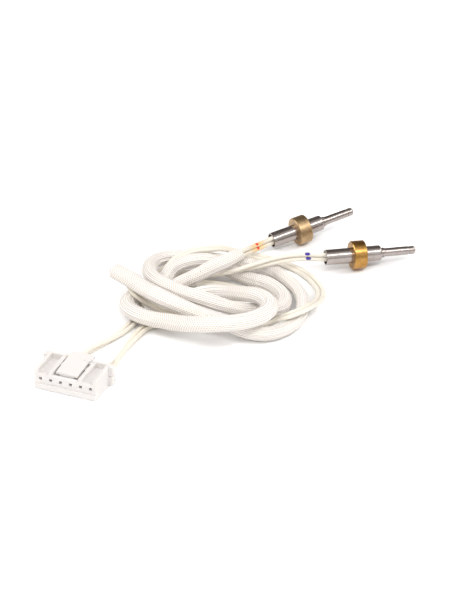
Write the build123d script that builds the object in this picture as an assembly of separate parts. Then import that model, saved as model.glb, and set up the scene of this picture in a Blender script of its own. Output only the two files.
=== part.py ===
from build123d import *

import math
import os

# Pair of stepped metal sensing probes on one wiring harness, in millimetres.
# Origin: on the floor under the middle of the box round the two probes.  +Z is up,
# +X runs along the longer side of that box, towards the tip of the return probe.

# ---------------------------------------------------------------- probe sizes
TUBE_DIAMETER = 6.0
TUBE_WALL = 0.5
TUBE_REAR_LENGTH = 10.3          # open mouth to the rear face of the collar
TUBE_FRONT_LENGTH = 6.6          # front face of the collar to the rounded shoulder
SHOULDER_RADIUS = 0.8
NECK_DIAMETER = 3.9              # rolled ring that grips the tip tube
NECK_LENGTH = 1.3
NECK_GROOVE_DIAMETER = 3.5       # between the shoulder and the ring
NECK_GROOVE_LENGTH = 0.5
NECK_ROUND = 0.15
TIP_DIAMETER = 3.3
TIP_WALL = 0.3
TIP_LENGTH = 9.6                 # neck to the groove behind the nose
NOSE_GROOVE_DIAMETER = 2.8
NOSE_GROOVE_LENGTH = 0.6
NOSE_DIAMETER = 3.2
NOSE_LENGTH = 3.1
COLLAR_DIAMETER = 11.0
COLLAR_LENGTH = 5.2
COLLAR_CHAMFER = 0.3
SEAT_DEPTH = 0.2                 # groove in the wide tube that the collar is swaged into
FACE_RELIEF = 0.05               # recess round the tube in the collar's front face
FACE_RELIEF_DEPTH = 0.3
SPIGOT_DIAMETER = 2.8            # the tip tube's tail, held in the neck
TIP_TAIL_LENGTH = 3.6            # tip tube inside the wide tube
RUNNING_GAP = 0.03               # between parts that slide together when assembled

# inside a probe
WIRE_DIAMETER = 1.7
WIRE_SPACING = 1.97              # centre to centre in a pair
WIRE_HOLE_GAP = 0.1
POTTING_FRONT = -2.6             # measured along the probe from the collar's rear face
POTTING_LENGTH = 3.4
WIRE_END = -2.0                  # a wire's insulation ends here, against its splice
SPLICE_DIAMETER = 1.75
SPLICE_LENGTH = 5.0
LEAD_ENTRY = 2.5                 # how far a lead goes into its splice
LEAD_DIAMETER = 0.3
LEAD_SPACING = 0.9
INSULATOR_DIAMETER = 2.1
INSULATOR_START = 8.6
INSULATOR_LENGTH = 12.0
BEAD_DIAMETER = 1.8
BEAD_LENGTH = 2.6

# ---------------------------------------------------------------- probe places
RETURN_COLLAR = (3.32, -13.07)   # middle of the collar's rear face, seen from above
RETURN_HEADING = 15.0
RETURN_TILT = -2.9
FLOW_COLLAR = (-17.88, 5.63)
FLOW_HEADING = 28.0
FLOW_TILT = 5.9

# ---------------------------------------------------------------- connector sizes
POSITIONS = 6
PITCH = 3.96
END_MARGIN = 2.25                # outer wall to the middle of the first position
BODY_DEPTH = 13.4
BODY_HEIGHT = 8.0
FRONT_WALL_HEIGHT = 6.4
FLOOR_HEIGHT = 5.8               # of the open recesses on top
FRONT_WALL = 1.1
REAR_WALL = 1.2
SIDE_WALL = 1.3
RIB_WIDTH = 1.5
RIB_HEIGHT = 7.7
LEDGE_HEIGHT = 2.1
LEDGE_DEPTH = 0.5
FLANGE_DEPTH = 2.3
FLANGE_REACH = 1.7               # lobes beyond the side walls
LOBE_HEIGHT = 3.7
LOBE_ROUND = 0.9
ENTRY_SIZE = 1.14                # square hole for a header pin
CAVITY_SIZE = 2.3
CAVITY_HEIGHT = 4.3              # middle of the row of contacts
CAVITY_FRONT = 1.4
WINDOW_LENGTH = 2.0

# latch lever over the middle of the housing
LATCH_WIDTH = 8.8
LATCH_FRONT = 1.5
LATCH_LENGTH = 14.3
LATCH_THICKNESS = 0.9
LATCH_GAP = 0.5                  # under the lever's front edge
LATCH_RISE = 0.9                 # front edge to thumb edge
LATCH_PIVOT_FROM_FRONT = 6.6
PIVOT_DIAMETER = 0.9
PIVOT_GAP = 0.05
HOOK_DEPTH = 1.0
THUMB_EXTRA = 0.7
THUMB_LENGTH = 4.6
THUMB_CORNER = 0.9

# terminals
TERMINAL_POSITIONS = (1, 2, 5, 6)
SOCKET_SIZE = 1.9
SOCKET_WALL = 0.25
SOCKET_LENGTH = 5.4
CRIMP_LENGTH = 3.4
CRIMP_WALL = 0.2
NECK_STRIP = 1.6
SEAT_GAP = 0.1

CONNECTOR_CORNER = (-113.8, -99.1)   # lower front corner at the first position
CONNECTOR_HEADING = -22.5

# ---------------------------------------------------------------- cord sizes and routes
SLEEVE_DIAMETER = 5.8
SLEEVE_BORE = 4.9

# braided sleeve, from its end beside the flow probe to its raised free end
SLEEVE_ROUTE = [
    (-39.5, -22.5, 11.5), (-44.5, -27.5, 11.5), (-50, -30.5, 10.5), (-55.5, -32, 8),
    (-61, -32.5, 5.5), (-65, -34, 3.5), (-66, -38, 3), (-63, -41, 3), (-58, -39.5, 3),
    (-52, -37.5, 3.5), (-45.5, -41, 5.5), (-38.5, -47.5, 9), (-32.5, -53, 11.5), (-28.5, -58, 11.5),
    (-28.5, -64, 11.5), (-33, -69.5, 11.5), (-39.5, -72.5, 11.5), (-47.5, -73.5, 11.5),
    (-56.5, -70, 9), (-65.5, -64, 6.5), (-73.5, -59, 5), (-79.5, -54.5, 5), (-82, -49, 4.8),
    (-80.5, -44, 5), (-76, -39, 5.2), (-71.5, -31.5, 3), (-68, -27, 3.5), (-66, -23.5, 5),
    (-62, -22, 7), (-57, -21, 8), (-52, -20.5, 8), (-47.5, -20, 6), (-42.5, -21.5, 3.5),
    (-35.5, -26.5, 3), (-29, -29.5, 3), (-24, -35.5, 3), (-22, -42.5, 3), (-24, -49.5, 3.5),
    (-29.5, -53.5, 5), (-35.5, -53, 5), (-42.5, -54, 6.5), (-49, -55, 9.5), (-55.5, -53, 11),
    (-62, -49.5, 11), (-68, -45, 11.5), (-72.5, -39, 11), (-74, -28, 8.5), (-72.5, -16, 5),
    (-67, -9.5, 3), (-60, -9.5, 3), (-52.5, -10.5, 3), (-44, -12.5, 3), (-35.5, -15, 3),
    (-28, -19, 3), (-21.5, -26.5, 3), (-16.5, -36, 3), (-15.5, -46, 3), (-17, -55.5, 3),
    (-22, -63, 3), (-28.5, -67, 3), (-35.5, -67, 3.5), (-41, -65.5, 5), (-46, -61.5, 5),
    (-52, -60, 6.5), (-58, -59.5, 9), (-64, -57.5, 11), (-69.5, -54.5, 12), (-75, -49, 12),
    (-80.5, -43.5, 13), (-86.3, -38.5, 13.5),
]

# A pair's route is the line between its two wires: x, y, z and the roll of the pair,
# 0 with the wires side by side and 90 with one above the other.
RETURN_ROUTE = [
    (-13, -16, 7, 90), (-19.5, -18.5, 8, 90),
    (-25.5, -21.5, 8.5, 90), (-31, -24.5, 8.5, 80), (-36.5, -27, 8.5, 55), (-41, -28.5, 8, 30),
    (-46, -26.5, 5.5, 10), (-51, -23, 3, 0), (-55.5, -19, 1, 0), (-60, -18.5, 1, 0),
    (-62.5, -22, 1, 0), (-60.5, -26, 1, 0), (-56, -26, 1, 0), (-49.5, -26.5, 1, 0),
    (-43.5, -28.5, 1, 0), (-38, -32, 1, 0), (-33.5, -36, 1, 0), (-30.5, -40.5, 1, 0),
    (-30.5, -46, 1, 0), (-31.5, -52.5, 1, 0), (-29.5, -58.5, 1.5, 0), (-25.5, -60, 5.5, 0),
    (-21.5, -61, 7.5, 0), (-17.5, -59, 8, 0), (-13.5, -53.5, 7, 0), (-9.5, -44, 4, 0),
    (-8.5, -33.5, 2, 0), (-11, -24.5, 1, 0), (-15, -18, 1, 0), (-20, -13, 1, 0), (-26, -8.5, 1, 0),
    (-32.5, -6, 1, 0), (-40, -4, 2, 0), (-46, -8.5, 6.5, 0), (-52, -13, 8.5, 0),
    (-57, -14.5, 9, 0), (-61.5, -16, 7.5, 0), (-64.5, -17.5, 6, 0), (-67, -18.5, 3.5, 0),
    (-70.5, -19, 1, 0), (-74, -23.5, 1, 0), (-76.5, -28.5, 1, 0), (-77.5, -34, 1, 0),
    (-77, -40.5, 1, 0), (-77, -47.5, 1, 0), (-78.5, -54, 1, 0), (-82, -60, 1, 0), (-86, -66.5, 1.4, 30),
    (-90, -71.5, 1.75, 60), (-94.5, -76, 1.85, 70),
]
FLOW_LEAD_IN = [
    (-31.5, -7, 6.5, 90), (-35.5, -15.5, 9.5, 90),
]
FLOW_TAIL = [
    (-85.3, -39.4, 13.4, 90), (-87.1, -37.4, 12.8, 60), (-86.7, -35, 11.4, 30), (-83.8, -34.2, 10.2, 0),
    (-81, -37.2, 9.2, 0), (-80, -43, 9, 0), (-78.5, -46.5, 8.5, 0), (-75.5, -47.5, 6, 0),
    (-72.5, -47, 3.5, 0), (-69.5, -47, 1.5, 0), (-66.5, -48, 1, 0), (-63, -50.5, 1, 0),
    (-61.7, -52.8, 1, 0), (-63.6, -55.4, 1, 0), (-67.5, -56.4, 1, 0), (-71.3, -56.6, 1, 0),
    (-74.6, -58.4, 1, 0), (-77, -62.6, 1, 0), (-79.5, -69, 1.4, 30), (-82, -76, 1.75, 60), (-85, -84, 1.85, 70),
]
# the last free points of each wire, before it turns into its terminal
RETURN_A_END = [(-97.2, -80.4, 2.3), (-100, -83, 2.8)]
RETURN_B_END = [(-99.4, -78.9, 1.1), (-103.2, -80.5, 2)]
FLOW_A_END = [(-84.7, -87.8, 2.4)]
FLOW_B_END = [(-87.3, -86.2, 1.5)]
WIRE_OUTSIDE = 3.0               # straight wire behind the housing


# ---------------------------------------------------------------- helpers
def on_floor(spot, heading, tilt):
    """Place whose Z axis runs along a probe and whose origin is at the collar's rear face.

    The collar's rim touches the floor: at its front when the tip points down, at its rear when it
    points up.
    """
    h = math.radians(heading)
    t = math.radians(tilt)
    touching = COLLAR_LENGTH - COLLAR_CHAMFER if tilt < 0 else COLLAR_CHAMFER
    height = COLLAR_DIAMETER / 2 * math.cos(t) - touching * math.sin(t)
    start = Vector(*spot, height)
    ahead = Vector(math.cos(h) * math.cos(t), math.sin(h) * math.cos(t), math.sin(t))
    side = Vector(-math.sin(h), math.cos(h), 0)
    return Location(Plane(origin=start, x_dir=side, z_dir=ahead))


def turned(points):
    """Solid of revolution about Z from (radius, height) points, closed along the axis side."""
    outline = Polyline([(r, 0, z) for r, z in points], close=True)
    return revolve(make_face(outline), Axis.Z)


def rod(diameter, low, high, x=0.0, y=0.0):
    return Pos(x, y, low) * extrude(Circle(diameter / 2), high - low)


def block(x0, x1, y0, y1, z0, z1):
    return Pos((x0 + x1) / 2, (y0 + y1) / 2, (z0 + z1) / 2) * Box(x1 - x0, y1 - y0, z1 - z0)


def as_compound(*solids):
    return Compound(children=list(solids))


# ---------------------------------------------------------------- probe
COLLAR_FRONT = COLLAR_LENGTH
SHOULDER = COLLAR_FRONT + TUBE_FRONT_LENGTH
NECK_END = SHOULDER + NECK_LENGTH
TIP_STEP = NECK_END + TIP_LENGTH
TIP_END = TIP_STEP + NOSE_LENGTH
BEAD_START = TIP_END - 3 * TIP_WALL - BEAD_LENGTH


def wide_tube():
    """Open tube, rounded in at the shoulder and rolled down to a neck on the tip tube."""
    r = TUBE_DIAMETER / 2
    bore = r - TUBE_WALL
    neck = NECK_DIAMETER / 2
    groove = NECK_GROOVE_DIAMETER / 2
    ring_start = SHOULDER + NECK_GROOVE_LENGTH
    grip = SPIGOT_DIAMETER / 2 + RUNNING_GAP
    outside = turned([(0, -TUBE_REAR_LENGTH), (r, -TUBE_REAR_LENGTH), (r, SHOULDER), (groove, SHOULDER),
                      (groove, ring_start), (neck, ring_start), (neck, NECK_END), (0, NECK_END)])
    rim = outside.edges().filter_by(GeomType.CIRCLE).filter_by(
        lambda e: abs(e.center().Z - SHOULDER) < 1e-6 and abs(e.radius - r) < 1e-6)
    outside = fillet(rim, min(SHOULDER_RADIUS, (r - neck) * 0.95))
    ring = outside.edges().filter_by(GeomType.CIRCLE).filter_by(
        lambda e: e.center().Z > SHOULDER + 1e-6 and abs(e.radius - neck) < 1e-6)
    outside = fillet(ring, NECK_ROUND)
    inside = turned([(0, -TUBE_REAR_LENGTH - 1), (bore, -TUBE_REAR_LENGTH - 1), (bore, SHOULDER - TUBE_WALL * 2),
                     (grip, SHOULDER - TUBE_WALL / 2), (grip, NECK_END + 1), (0, NECK_END + 1)])
    seat = rod(TUBE_DIAMETER + 1, 0, COLLAR_LENGTH)
    seat -= rod(TUBE_DIAMETER - 2 * SEAT_DEPTH, -1, COLLAR_LENGTH + 1)
    return outside - inside - seat


def tip_tube():
    """Thin closed tube with a groove behind its rounded nose."""
    r = TIP_DIAMETER / 2
    nose = NOSE_DIAMETER / 2
    start = SHOULDER - TIP_TAIL_LENGTH
    body = rod(SPIGOT_DIAMETER, start, NECK_END) + rod(TIP_DIAMETER, NECK_END, TIP_STEP)
    body += rod(NOSE_GROOVE_DIAMETER, TIP_STEP, TIP_STEP + NOSE_GROOVE_LENGTH)
    body += rod(NOSE_DIAMETER, TIP_STEP + NOSE_GROOVE_LENGTH, TIP_END)
    end = body.edges().sort_by(Axis.Z)[-1]
    body = fillet(end, nose * 0.7)
    return body - rod(SPIGOT_DIAMETER - 2 * TIP_WALL, start - 1, TIP_END - 2 * TIP_WALL)


def collar():
    """Ring swaged on to the wide tube's seat."""
    ring = rod(COLLAR_DIAMETER, 0, COLLAR_LENGTH)
    ring = chamfer(ring.edges(), COLLAR_CHAMFER)
    ring -= rod(TUBE_DIAMETER + 2 * FACE_RELIEF, COLLAR_LENGTH - FACE_RELIEF_DEPTH, COLLAR_LENGTH + 1)
    return ring - rod(TUBE_DIAMETER - 2 * SEAT_DEPTH, -1, COLLAR_LENGTH + 1)


def potting():
    plug = rod(TUBE_DIAMETER - 2 * TUBE_WALL, POTTING_FRONT - POTTING_LENGTH, POTTING_FRONT)
    for side in (-1, 1):
        plug -= rod(WIRE_DIAMETER + WIRE_HOLE_GAP, POTTING_FRONT - POTTING_LENGTH - 1, POTTING_FRONT + 1,
                    y=side * WIRE_SPACING / 2)
    return plug


def splice(side):
    """Crimp barrel that joins one wire to one element lead."""
    top = WIRE_END + SPLICE_LENGTH
    barrel = rod(SPLICE_DIAMETER, WIRE_END, top, y=side * WIRE_SPACING / 2)
    return barrel - rod(LEAD_DIAMETER, top - LEAD_ENTRY, top + 1, y=side * LEAD_SPACING / 2)


def lead(side):
    """Bare lead from a splice through the insulator to the bead."""
    return rod(LEAD_DIAMETER, WIRE_END + SPLICE_LENGTH - LEAD_ENTRY, BEAD_START, y=side * LEAD_SPACING / 2)


def insulator():
    body = rod(INSULATOR_DIAMETER, INSULATOR_START, INSULATOR_START + INSULATOR_LENGTH)
    for side in (-1, 1):
        body -= rod(LEAD_DIAMETER + RUNNING_GAP, INSULATOR_START - 1, INSULATOR_START + INSULATOR_LENGTH + 1,
                    y=side * LEAD_SPACING / 2)
    return body


def bead():
    body = rod(BEAD_DIAMETER, BEAD_START, BEAD_START + BEAD_LENGTH)
    return fillet(body.edges(), BEAD_DIAMETER * 0.3)


def probe(name, place):
    return {
        name + "_wide_tube": place * wide_tube(),
        name + "_tip_tube": place * tip_tube(),
        name + "_brass_collar": place * collar(),
        name + "_potting_plug": place * potting(),
        name + "_crimp_splices": as_compound(place * splice(-1), place * splice(1)),
        name + "_element_leads": as_compound(place * lead(-1), place * lead(1)),
        name + "_ceramic_insulator": place * insulator(),
        name + "_sensor_bead": place * bead(),
    }


# ---------------------------------------------------------------- connector
BODY_WIDTH = 2 * END_MARGIN + (POSITIONS - 1) * PITCH
LATCH_LEFT = (BODY_WIDTH - LATCH_WIDTH) / 2
PIVOT_Y = LATCH_FRONT + LATCH_PIVOT_FROM_FRONT
PIVOT_Z = FLOOR_HEIGHT + PIVOT_DIAMETER / 2 + PIVOT_GAP
SOCKET_FRONT = CAVITY_FRONT + SEAT_GAP
CRIMP_FRONT = SOCKET_FRONT + SOCKET_LENGTH + NECK_STRIP


def position_x(number):
    return END_MARGIN + (number - 1) * PITCH


def latch_under(y):
    """Height of the lever's under face at depth y."""
    return FLOOR_HEIGHT + LATCH_GAP + 0.5 + LATCH_RISE * (y - LATCH_FRONT) / LATCH_LENGTH


def housing():
    body = block(0, BODY_WIDTH, 0, BODY_DEPTH, 0, BODY_HEIGHT)
    body += block(0, BODY_WIDTH, -LEDGE_DEPTH, 0, 0, LEDGE_HEIGHT)
    # open top between the side walls
    body -= block(SIDE_WALL, BODY_WIDTH - SIDE_WALL, -1, FRONT_WALL, FRONT_WALL_HEIGHT, BODY_HEIGHT + 1)
    body -= block(SIDE_WALL, BODY_WIDTH - SIDE_WALL, FRONT_WALL, BODY_DEPTH - REAR_WALL,
                  FLOOR_HEIGHT, BODY_HEIGHT + 1)
    # the rear wall is cut down where the lever passes over it
    body -= block(LATCH_LEFT - 1, LATCH_LEFT + LATCH_WIDTH + 1, BODY_DEPTH - REAR_WALL - 1, BODY_DEPTH + 1,
                  FLOOR_HEIGHT + 0.3, BODY_HEIGHT + 1)
    for number in (2, 5):
        x = position_x(number)
        body += block(x - RIB_WIDTH / 2, x + RIB_WIDTH / 2, 0, BODY_DEPTH - REAR_WALL / 2, FLOOR_HEIGHT - 0.5,
                      RIB_HEIGHT)
    # lobes of the rear flange
    for left, right in ((-FLANGE_REACH, 0.5), (BODY_WIDTH - 0.5, BODY_WIDTH + FLANGE_REACH)):
        for low in (0, BODY_HEIGHT - LOBE_HEIGHT):
            lobe = block(left, right, BODY_DEPTH - FLANGE_DEPTH, BODY_DEPTH, low, low + LOBE_HEIGHT)
            outer = lobe.edges().filter_by(Axis.Y).group_by(Axis.X)[0 if left < 0 else -1]
            body += fillet(outer, LOBE_ROUND)
    for number in range(1, POSITIONS + 1):
        x = position_x(number)
        body -= block(x - ENTRY_SIZE / 2, x + ENTRY_SIZE / 2, -1, CAVITY_FRONT + 1,
                      CAVITY_HEIGHT - ENTRY_SIZE / 2, CAVITY_HEIGHT + ENTRY_SIZE / 2)
        body -= block(x - CAVITY_SIZE / 2, x + CAVITY_SIZE / 2, CAVITY_FRONT, BODY_DEPTH + 1,
                      CAVITY_HEIGHT - CAVITY_SIZE / 2, CAVITY_HEIGHT + CAVITY_SIZE / 2)
        # window under each cavity where the terminal's lance catches
        body -= block(x - CAVITY_SIZE / 4, x + CAVITY_SIZE / 4, CAVITY_FRONT + 3, CAVITY_FRONT + 3 + WINDOW_LENGTH,
                      -1, CAVITY_HEIGHT)
    # bearing blocks for the lever's trunnions
    for side in (-1, 1):
        x = BODY_WIDTH / 2 + side * (LATCH_WIDTH / 2 + 0.75)
        ear = block(x - 0.5, x + 0.5, PIVOT_Y - 1.1, PIVOT_Y + 1.1, FLOOR_HEIGHT - 0.3, PIVOT_Z + 1.0)
        body += ear
    body -= Pos(BODY_WIDTH / 2, PIVOT_Y, PIVOT_Z) * Rot(0, 90, 0) * Cylinder(
        PIVOT_DIAMETER / 2 + PIVOT_GAP, LATCH_WIDTH + 2.6)
    return body


def latch_lever():
    """Thumb lever with a hook at the front; it rocks on two short trunnions."""
    front = LATCH_FRONT
    rear = LATCH_FRONT + LATCH_LENGTH
    left = LATCH_LEFT + 0.15
    right = LATCH_LEFT + LATCH_WIDTH - 0.15
    side_view = Polyline([(0, front, latch_under(front)), (0, rear, latch_under(rear)),
                          (0, rear, latch_under(rear) + LATCH_THICKNESS),
                          (0, front, latch_under(front) + LATCH_THICKNESS)], close=True)
    lever = extrude(make_face(side_view), right - left, dir=(1, 0, 0))
    lever = Pos(left, 0, 0) * lever
    lever = fillet(lever.edges().filter_by(Axis.Z).group_by(Axis.Y)[-1], THUMB_CORNER)
    thumb = block(right - 2 * THUMB_CORNER, right + THUMB_EXTRA, rear - THUMB_LENGTH, rear,
                  latch_under(rear) - 0.1, latch_under(rear) + LATCH_THICKNESS)
    lever += fillet(thumb.edges().filter_by(Axis.Z).group_by(Axis.X)[-1], THUMB_CORNER)
    lever += block(left + 1.5, right - 1.5, front, front + HOOK_DEPTH, FLOOR_HEIGHT + LATCH_GAP - 0.1,
                   latch_under(front) + 0.2)
    lever += block(left, right, PIVOT_Y - 0.6, PIVOT_Y + 0.6, PIVOT_Z, latch_under(PIVOT_Y) + 0.3)
    lever += Pos(BODY_WIDTH / 2, PIVOT_Y, PIVOT_Z) * Rot(0, 90, 0) * Cylinder(
        PIVOT_DIAMETER / 2, LATCH_WIDTH + 1.6)
    return lever


def terminal(number):
    """Box socket, neck strip and crimp barrel, seated in one cavity."""
    x = position_x(number)
    z = CAVITY_HEIGHT
    front = SOCKET_FRONT
    half = SOCKET_SIZE / 2
    box = block(x - half, x + half, front, front + SOCKET_LENGTH, z - half, z + half)
    hollow = half - SOCKET_WALL
    box -= block(x - hollow, x + hollow, front - 1, front + SOCKET_LENGTH + 1, z - hollow, z + hollow)
    strip = block(x - hollow, x + hollow, front + SOCKET_LENGTH - 0.5, CRIMP_FRONT + SEAT_GAP / 2,
                  z - half, z - half + SOCKET_WALL)
    bore = WIRE_DIAMETER + WIRE_HOLE_GAP
    barrel = Pos(x, CRIMP_FRONT, z) * Rot(-90, 0, 0) * extrude(
        Circle(bore / 2 + CRIMP_WALL) - Circle(bore / 2), CRIMP_LENGTH)
    return box + strip + barrel


# ---------------------------------------------------------------- cords
def wire_points(route, side):
    """One wire of a pair: each point is moved half the spacing sideways or up, as the roll says."""
    places = [Vector(x, y, z) for x, y, z, roll in route]
    points = []
    for i, place in enumerate(places):
        before = places[i - 1] if i else place * 2 - places[1]
        after = places[i + 1] if i + 1 < len(places) else place * 2 - before
        arriving = math.atan2(place.Y - before.Y, place.X - before.X)
        leaving = math.atan2(after.Y - place.Y, after.X - place.X)
        half_turn = math.remainder(leaving - arriving, math.tau) / 2
        heading = arriving + half_turn
        roll = math.radians(route[i][3])
        reach = side * WIRE_SPACING / 2
        sideways = reach * math.cos(roll) / math.cos(half_turn)
        points.append((place.X - math.sin(heading) * sideways, place.Y + math.cos(heading) * sideways,
                       place.Z + math.sin(roll) * reach))
    return points


def corner_radii(points):
    """Radius of each corner's arc: 0.45 of the shorter run over the tangent of half the turn."""
    radii = []
    for before, corner, after in zip(points, points[1:], points[2:]):
        first = Vector(corner) - Vector(before)
        second = Vector(after) - Vector(corner)
        half_turn = math.radians(first.get_angle(second)) / 2
        radii.append(0.45 * min(first.length, second.length) / math.tan(half_turn))
    return radii


def cord(name, points, diameter, bore=0.0):
    """Round tube along straight runs joined by tangent arcs."""
    radii = corner_radii(points)
    path = FilletPolyline(*points, radius=radii)
    start = Plane(origin=path @ 0, z_dir=path % 0)
    section = start * Circle(diameter / 2)
    tube = sweep(section, path)
    if bore:
        tube -= sweep(start * Circle(bore / 2), path)
    area = math.pi * (diameter ** 2 - bore ** 2) / 4
    print(f"{name}: length {path.length:.1f}, volume {tube.volume:.1f} of {area * path.length:.1f}, radii "
          + " ".join(f"{r:.1f}" for r in radii))
    return tube


def probe_end(place, side):
    """First two points of a wire: in its splice, and at the mouth of the wide tube."""
    spots = [place * Pos(0, side * WIRE_SPACING / 2, depth) for depth in (WIRE_END, -TUBE_REAR_LENGTH)]
    return [tuple(spot.position) for spot in spots]


def plug_end(place, number):
    """Last two points of a wire: behind the housing, and in its terminal's crimp."""
    depths = (BODY_DEPTH + WIRE_OUTSIDE, CRIMP_FRONT + SEAT_GAP)
    spots = [place * Pos(position_x(number), depth, CAVITY_HEIGHT) for depth in depths]
    return [tuple(spot.position) for spot in spots]


# ---------------------------------------------------------------- assembly
def build():
    flow = on_floor(FLOW_COLLAR, FLOW_HEADING, FLOW_TILT)
    back = on_floor(RETURN_COLLAR, RETURN_HEADING, RETURN_TILT)
    plug = Pos(*CONNECTOR_CORNER, 0) * Rot(0, 0, CONNECTOR_HEADING)
    nodes = {}
    nodes.update(probe("flow", flow))
    nodes.update(probe("return", back))
    nodes["connector_housing"] = plug * housing()
    nodes["latch_lever"] = plug * latch_lever()
    for number in TERMINAL_POSITIONS:
        nodes[f"terminal_{number}"] = plug * terminal(number)
    nodes["braided_sleeve"] = cord("braided_sleeve", SLEEVE_ROUTE, SLEEVE_DIAMETER, SLEEVE_BORE)
    inside = [(x, y, z, 90) for x, y, z in SLEEVE_ROUTE[:-1]]
    flow_route = FLOW_LEAD_IN + inside + FLOW_TAIL
    wires = {"return_wire_a": (back, RETURN_ROUTE, 1, RETURN_A_END, 2),
             "return_wire_b": (back, RETURN_ROUTE, -1, RETURN_B_END, 1),
             "flow_wire_a": (flow, flow_route, 1, FLOW_A_END, 6),
             "flow_wire_b": (flow, flow_route, -1, FLOW_B_END, 5)}
    for name, (place, route, side, last, number) in wires.items():
        points = probe_end(place, side) + wire_points(route, side) + last + plug_end(plug, number)
        nodes[name] = cord(name, points, WIRE_DIAMETER)
    return nodes


if __name__ == "__main__":
    os.makedirs("parts", exist_ok=True)
    for node, shape in build().items():
        export_step(shape, f"parts/{node}.step")
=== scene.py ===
"""Sensor probe harness: two stepped probes on braided leads with a six-way plug.

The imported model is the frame.  The sleeve and the wires are surfaces carried along smooth
splines; the metal and the moulded pieces are the frame's own meshes with new finishes.
"""

import math

import bpy
import numpy as np
from bpy.props import FloatProperty, FloatVectorProperty, IntProperty, PointerProperty
from mathutils import Matrix, Vector


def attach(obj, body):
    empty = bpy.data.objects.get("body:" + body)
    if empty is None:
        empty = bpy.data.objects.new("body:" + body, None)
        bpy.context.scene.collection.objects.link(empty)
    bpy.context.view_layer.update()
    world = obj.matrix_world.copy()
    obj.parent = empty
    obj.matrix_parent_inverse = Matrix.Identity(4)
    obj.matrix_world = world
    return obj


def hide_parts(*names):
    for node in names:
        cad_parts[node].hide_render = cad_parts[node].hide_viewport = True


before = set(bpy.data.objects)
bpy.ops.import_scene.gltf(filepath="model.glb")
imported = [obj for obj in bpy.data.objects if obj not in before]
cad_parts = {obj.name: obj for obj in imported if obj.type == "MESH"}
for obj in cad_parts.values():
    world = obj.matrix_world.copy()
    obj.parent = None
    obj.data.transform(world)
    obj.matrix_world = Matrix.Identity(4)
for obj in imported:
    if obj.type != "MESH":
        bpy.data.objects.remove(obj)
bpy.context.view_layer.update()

bl_info = {
    "name": "Sensor Probe Harness",
    "version": (1, 0, 0),
    "blender": (4, 5, 0),
    "location": "View3D > Sidebar > Harness",
    "description": "Pair of stepped sensing probes with a braided sleeve and a six-way plug",
    "category": "Add Mesh",
}

MM = 0.001
TAU = 2 * math.pi

# ---------------------------------------------------------------- places and routes, in millimetres
# A probe's place: the middle of its collar's rear face from above, its heading and its tilt.
FLOW_PROBE = ((-17.88, 5.63), 28.0, 5.9)
RETURN_PROBE = ((3.32, -13.07), 15.0, -2.9)
COLLAR_RADIUS = 5.5
COLLAR_LENGTH = 5.2
COLLAR_CHAMFER = 0.3
TUBE_REAR_LENGTH = 10.3
WIRE_END = -2.0
WIRE_SPACING = 1.97

PLUG_CORNER = (-113.8, -99.1)
PLUG_HEADING = -22.5
PLUG_DEPTH = 13.4
PLUG_END_MARGIN = 2.25
PLUG_PITCH = 3.96
WIRE_OUTSIDE = 3.0
CRIMP_START = 8.6
CONTACT_HEIGHT = 4.3

# Control points of the sleeve's spline, from its end beside the flow probe to its free end, and
# of the line between the two wires of each pair, with the pair's roll: 0 side by side, 90 one
# above the other.
SLEEVE_ROUTE = [
    (-39.5, -22.5, 11.5), (-44.5, -27.5, 11.5), (-50, -30.5, 10.5), (-55.5, -32, 8),
    (-61, -32.5, 5.5), (-65, -34, 3.5), (-66, -38, 3), (-63, -41, 3), (-58, -39.5, 3),
    (-52, -37.5, 3.5), (-45.5, -41, 5.5), (-38.5, -47.5, 9), (-32.5, -53, 11.5), (-28.5, -58, 11.5),
    (-28.5, -64, 11.5), (-33, -69.5, 11.5), (-39.5, -72.5, 11.5), (-47.5, -73.5, 11.5),
    (-56.5, -70, 9), (-65.5, -64, 6.5), (-73.5, -59, 5), (-79.5, -54.5, 5), (-82, -49, 4.8),
    (-80.5, -44, 5), (-76, -39, 5.2), (-71.5, -31.5, 3), (-68, -27, 3.5), (-66, -23.5, 5),
    (-62, -22, 7), (-57, -21, 8), (-52, -20.5, 8), (-47.5, -20, 6), (-42.5, -21.5, 3.5),
    (-35.5, -26.5, 3), (-29, -29.5, 3), (-24, -35.5, 3), (-22, -42.5, 3), (-24, -49.5, 3.5),
    (-29.5, -53.5, 5), (-35.5, -53, 5), (-42.5, -54, 6.5), (-49, -55, 9.5), (-55.5, -53, 11),
    (-62, -49.5, 11), (-68, -45, 11.5), (-72.5, -39, 11), (-74, -28, 8.5), (-72.5, -16, 5),
    (-67, -9.5, 3), (-60, -9.5, 3), (-52.5, -10.5, 3), (-44, -12.5, 3), (-35.5, -15, 3),
    (-28, -19, 3), (-21.5, -26.5, 3), (-16.5, -36, 3), (-15.5, -46, 3), (-17, -55.5, 3),
    (-22, -63, 3), (-28.5, -67, 3), (-35.5, -67, 3.5), (-41, -65.5, 5), (-46, -61.5, 5),
    (-52, -60, 6.5), (-58, -59.5, 9), (-64, -57.5, 11), (-69.5, -54.5, 12), (-75, -49, 12),
    (-80.5, -43.5, 13), (-86.3, -38.5, 13.5),
]
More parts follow.
